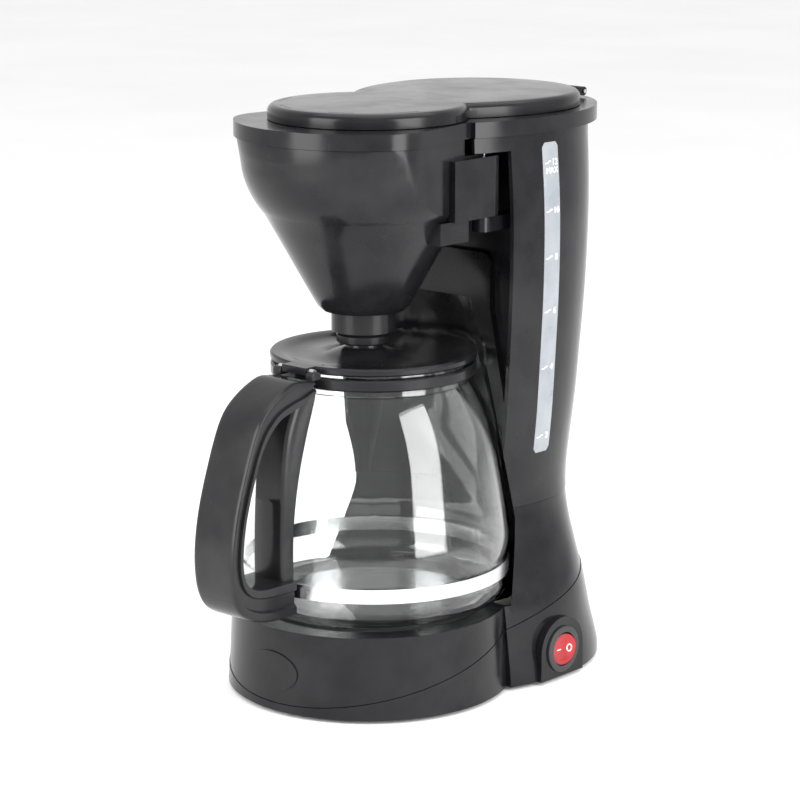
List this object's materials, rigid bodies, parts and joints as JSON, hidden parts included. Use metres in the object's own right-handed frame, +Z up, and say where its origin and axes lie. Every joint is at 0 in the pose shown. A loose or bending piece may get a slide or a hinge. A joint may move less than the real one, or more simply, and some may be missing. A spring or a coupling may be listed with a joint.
{
  "type": "drip coffee maker",
  "caption": "Free-standing filter coffee maker: tall rear water tank, swing-out cone funnel under a lidded rim, and a glass pot with a side handle on a warming plate.",
  "frame": {"origin": "on the floor under the middle of the object's length, on its plane of symmetry", "axes": "+Z up; the pot's handle points to -Y and the tank stands at +Y; the power switch is on the +X side"},
  "size_m": [0.1674, 0.287, 0.3282],
  "materials": {
    "housing": "high-gloss black moulded plastic",
    "inner_plastic": "fine satin black plastic",
    "pot_glass": "clear heat-proof glass",
    "steel": "bright stainless steel",
    "hot_plate": "dark non-stick coating",
    "casting": "cast aluminium",
    "rubber": "black silicone rubber",
    "hose": "milky silicone hose",
    "window": "translucent grey plastic",
    "rocker_red": "translucent red plastic"
  },
  "bodies": {
    "root": {"badge": "housing", "base_screws": "steel", "base_shell": "housing", "bottom_shell": "housing", "check_valve": "inner_plastic", "cold_hose": "hose", "cord_gland": "inner_plastic", "funnel_hinge_pin": "steel", "heater_casting": "casting", "hinge_bracket": "housing", "hot_hose": "hose", "lid_hinge_rod": "steel", "plate_seal": "rubber", "riser_tube": "hose", "rubber_feet": "rubber", "spray_head": "inner_plastic", "switch_bezel": "inner_plastic", "tank_floor": "inner_plastic", "tank_front_panel": "housing", "tank_shell": "housing", "terminal_block": "inner_plastic", "thermostat": "steel", "top_rim": "housing", "tower_cover": "housing", "warming_plate": "hot_plate", "water_window": "window"},
    "lid": {"top_lid": "housing"},
    "funnel": {"filter_funnel": "housing", "filter_insert": "inner_plastic", "spring_cap": "inner_plastic", "valve_spring": "steel"},
    "valve": {"drip_valve": "inner_plastic", "drip_seal": "rubber"},
    "rocker": {"rocker": "rocker_red"},
    "pot": {"pot_glass": "pot_glass", "pot_band": "steel", "pot_collar": "housing", "pot_lid": "housing", "pot_lid_rod": "steel", "pot_handle": "housing", "handle_screw": "steel"}
  },
  "joints": [
    {"name": "lid_hinge", "type": "hinge", "parent": "root", "child": "lid", "pos_m": [0, 0.1325, 0.3234], "axis": [-1, 0, 0], "range_deg": [0, 95]},
    {"name": "funnel_swing", "type": "hinge", "parent": "root", "child": "funnel", "pos_m": [0.0515, 0.0145, 0.285], "axis": [0, 0, 1], "range_deg": [0, 90]},
    {"name": "drip_stop", "type": "slide", "parent": "funnel", "child": "valve", "axis": [0, 0, 1], "range_m": [0, 0.003], "stiffness_N_per_m": 200, "springref_m": -0.003, "deforming": ["valve_spring"]},
    {"name": "rocker_tilt", "type": "hinge", "parent": "root", "child": "rocker", "pos_m": [0.0801, 0.051, 0.018], "axis": [0, 0, 1], "range_deg": [0, 16]},
    {"name": "pot_withdraw", "type": "slide", "parent": "root", "child": "pot", "axis": [0, -1, 0], "range_m": [0, 0.2]}
  ]
}
